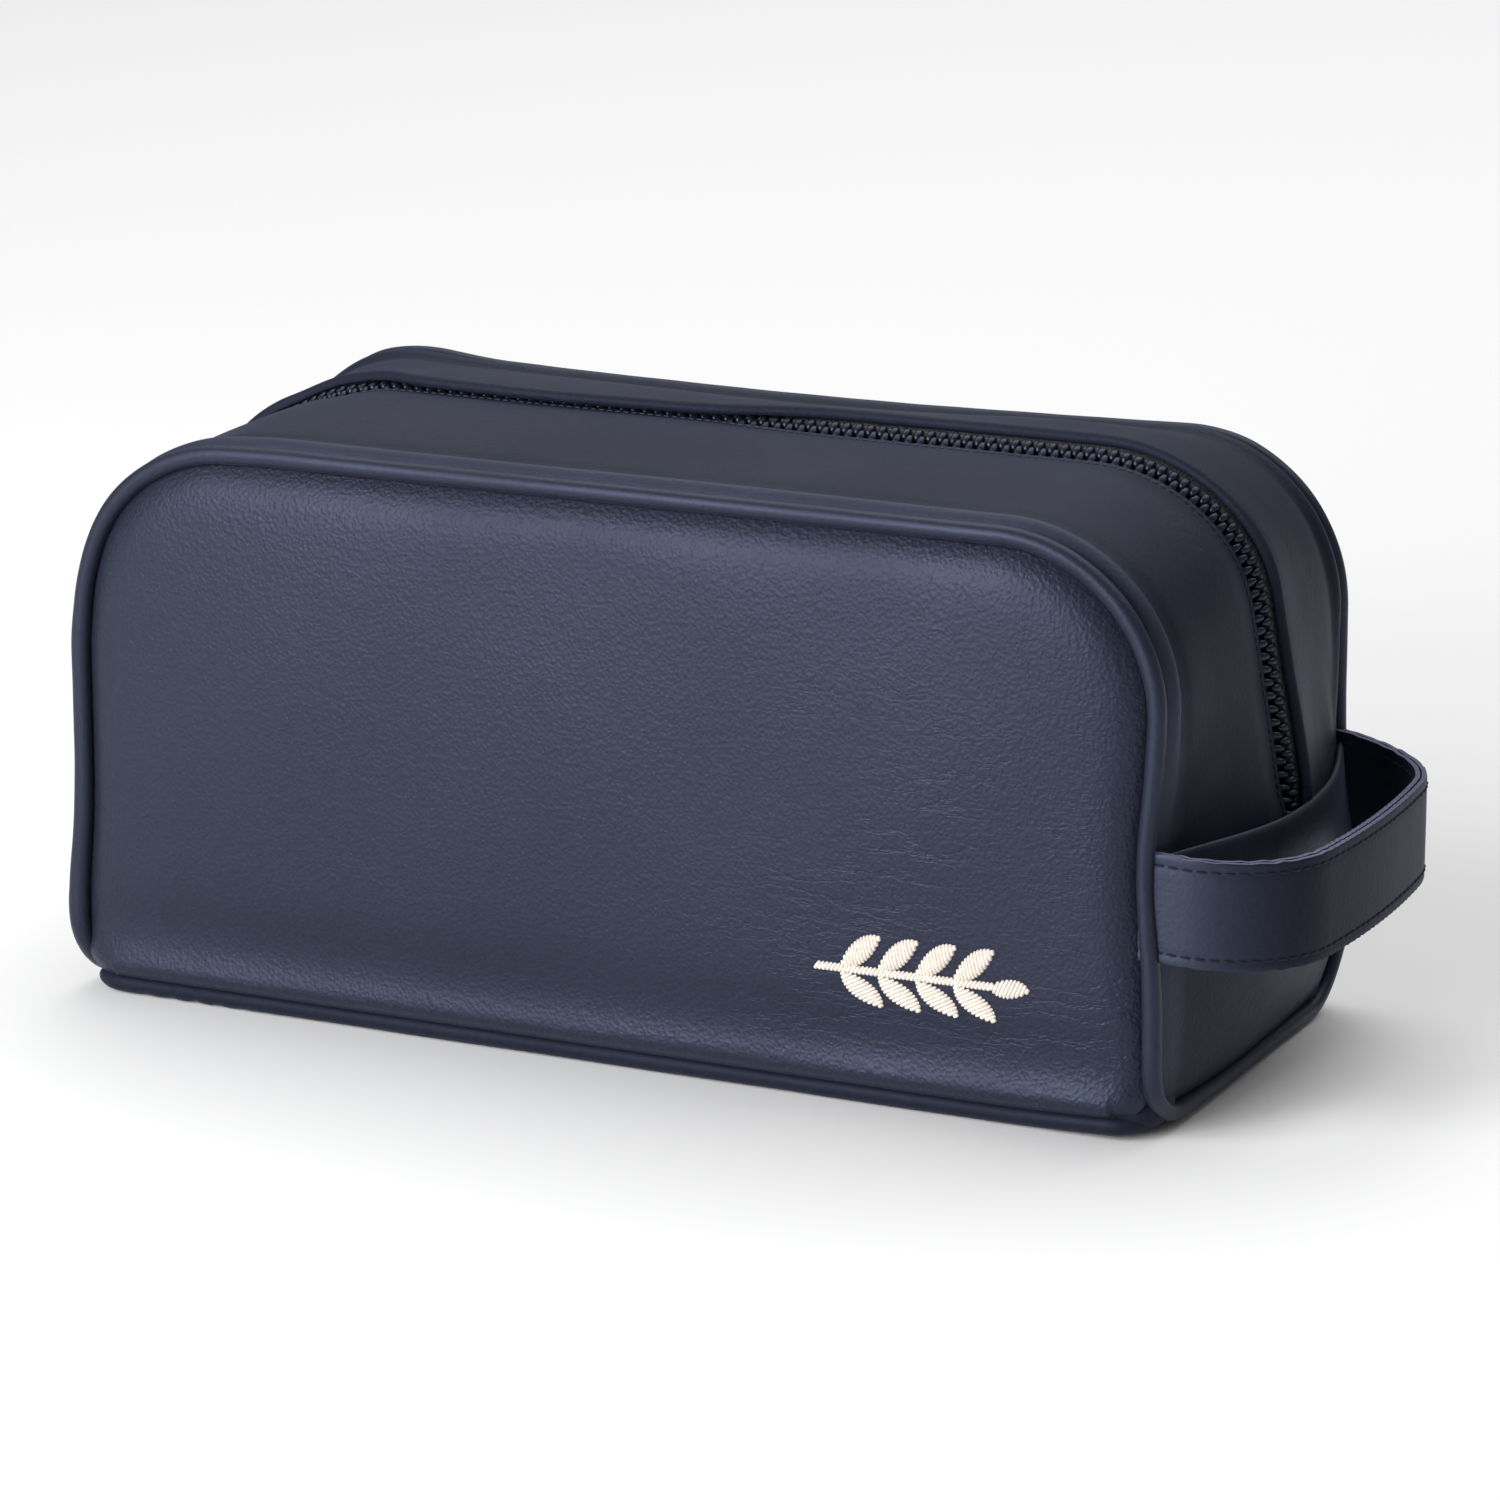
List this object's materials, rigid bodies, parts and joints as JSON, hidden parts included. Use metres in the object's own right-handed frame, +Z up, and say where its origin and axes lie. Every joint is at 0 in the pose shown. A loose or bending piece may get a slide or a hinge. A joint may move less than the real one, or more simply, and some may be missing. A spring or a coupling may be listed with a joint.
{
  "type": "shaving kit bag",
  "caption": "Padded leather wash bag with piped seams, a zip over the top that opens into two folding walls, and a loop handle on one end.",
  "frame": {"origin": "centre of the flat base, on the surface the bag stands on", "axes": "+X along the length towards the loop handle, -Y out of the front face with the emblem, +Z up"},
  "size_m": [0.3151, 0.1257, 0.1409],
  "materials": {
    "navy_leather": "fine-grained, soft sheen",
    "piping_leather": "smooth",
    "strap_leather": "smooth, raw edges",
    "lining_cloth": "plain weave",
    "foam_padding": "soft foam",
    "piping_core": "twisted cord",
    "stiffener_board": "matte",
    "zip_tooth_plastic": "moulded, glossy",
    "zip_tape_cloth": "woven",
    "dark_nickel": "dark nickel plate",
    "emblem_thread": "satin stitch"
  },
  "bodies": {
    "base": {"base_panel": "navy_leather", "base_board": "stiffener_board", "base_lining": "lining_cloth", "left_end_panel": "navy_leather", "right_end_panel": "navy_leather", "left_end_lining": "lining_cloth", "right_end_lining": "lining_cloth", "front_panel_lower": "navy_leather", "front_padding_lower": "foam_padding", "front_lining_lower": "lining_cloth", "back_panel_lower": "navy_leather", "back_padding_lower": "foam_padding", "back_lining_lower": "lining_cloth", "left_end_piping": "piping_leather", "right_end_piping": "piping_leather", "left_end_piping_core": "piping_core", "right_end_piping_core": "piping_core", "front_base_piping": "piping_leather", "back_base_piping": "piping_leather", "front_base_piping_core": "piping_core", "back_base_piping_core": "piping_core", "zip_tail_tape": "zip_tape_cloth", "zip_tail_teeth": "zip_tooth_plastic", "zip_top_stops": "dark_nickel", "zip_bottom_stop": "dark_nickel", "handle_patch": "navy_leather", "handle_root_outer": "strap_leather", "handle_root_inner": "strap_leather", "emblem": "emblem_thread", "slip_pocket": "lining_cloth", "pocket_binding": "lining_cloth"},
    "front_wall": {"front_panel_upper": "navy_leather", "front_padding_upper": "foam_padding", "front_lining_upper": "lining_cloth", "front_arch_piping": "piping_leather", "front_arch_piping_core": "piping_core", "front_gusset": "navy_leather", "front_gusset_lining": "lining_cloth", "front_zip_tape": "zip_tape_cloth", "front_zip_teeth": "zip_tooth_plastic"},
    "back_wall": {"back_panel_upper": "navy_leather", "back_padding_upper": "foam_padding", "back_lining_upper": "lining_cloth", "back_arch_piping": "piping_leather", "back_arch_piping_core": "piping_core", "back_gusset": "navy_leather", "back_gusset_lining": "lining_cloth", "back_zip_tape": "zip_tape_cloth", "back_zip_teeth": "zip_tooth_plastic"},
    "zip_slider": {"zip_slider": "dark_nickel"},
    "zip_pull": {"pull_link": "dark_nickel", "pull_tab": "navy_leather"},
    "handle": {"handle_strap_outer": "strap_leather", "handle_strap_inner": "strap_leather"}
  },
  "joints": [
    {"name": "front_wall_fold", "type": "hinge", "parent": "base", "child": "front_wall", "pos_m": [0, -0.0627, 0.066], "axis": [1, 0, 0], "range_deg": [0, 20]},
    {"name": "back_wall_fold", "type": "hinge", "parent": "base", "child": "back_wall", "pos_m": [0, 0.0627, 0.066], "axis": [-1, 0, 0], "range_deg": [0, 20]},
    {"name": "zip_slider_travel", "type": "slide", "parent": "base", "child": "zip_slider", "axis": [0, 0, 1], "range_m": [0, 0.028]},
    {"name": "pull_swing", "type": "hinge", "parent": "zip_slider", "child": "zip_pull", "pos_m": [-0.1456, 0, 0.055], "axis": [0, 1, 0], "range_deg": [0, 150]},
    {"name": "handle_tilt", "type": "hinge", "parent": "base", "child": "handle", "pos_m": [0.137, 0, 0.052], "axis": [0, 1, 0], "range_deg": [-25, 25], "stiffness_Nm_per_rad": 0.06}
  ]
}
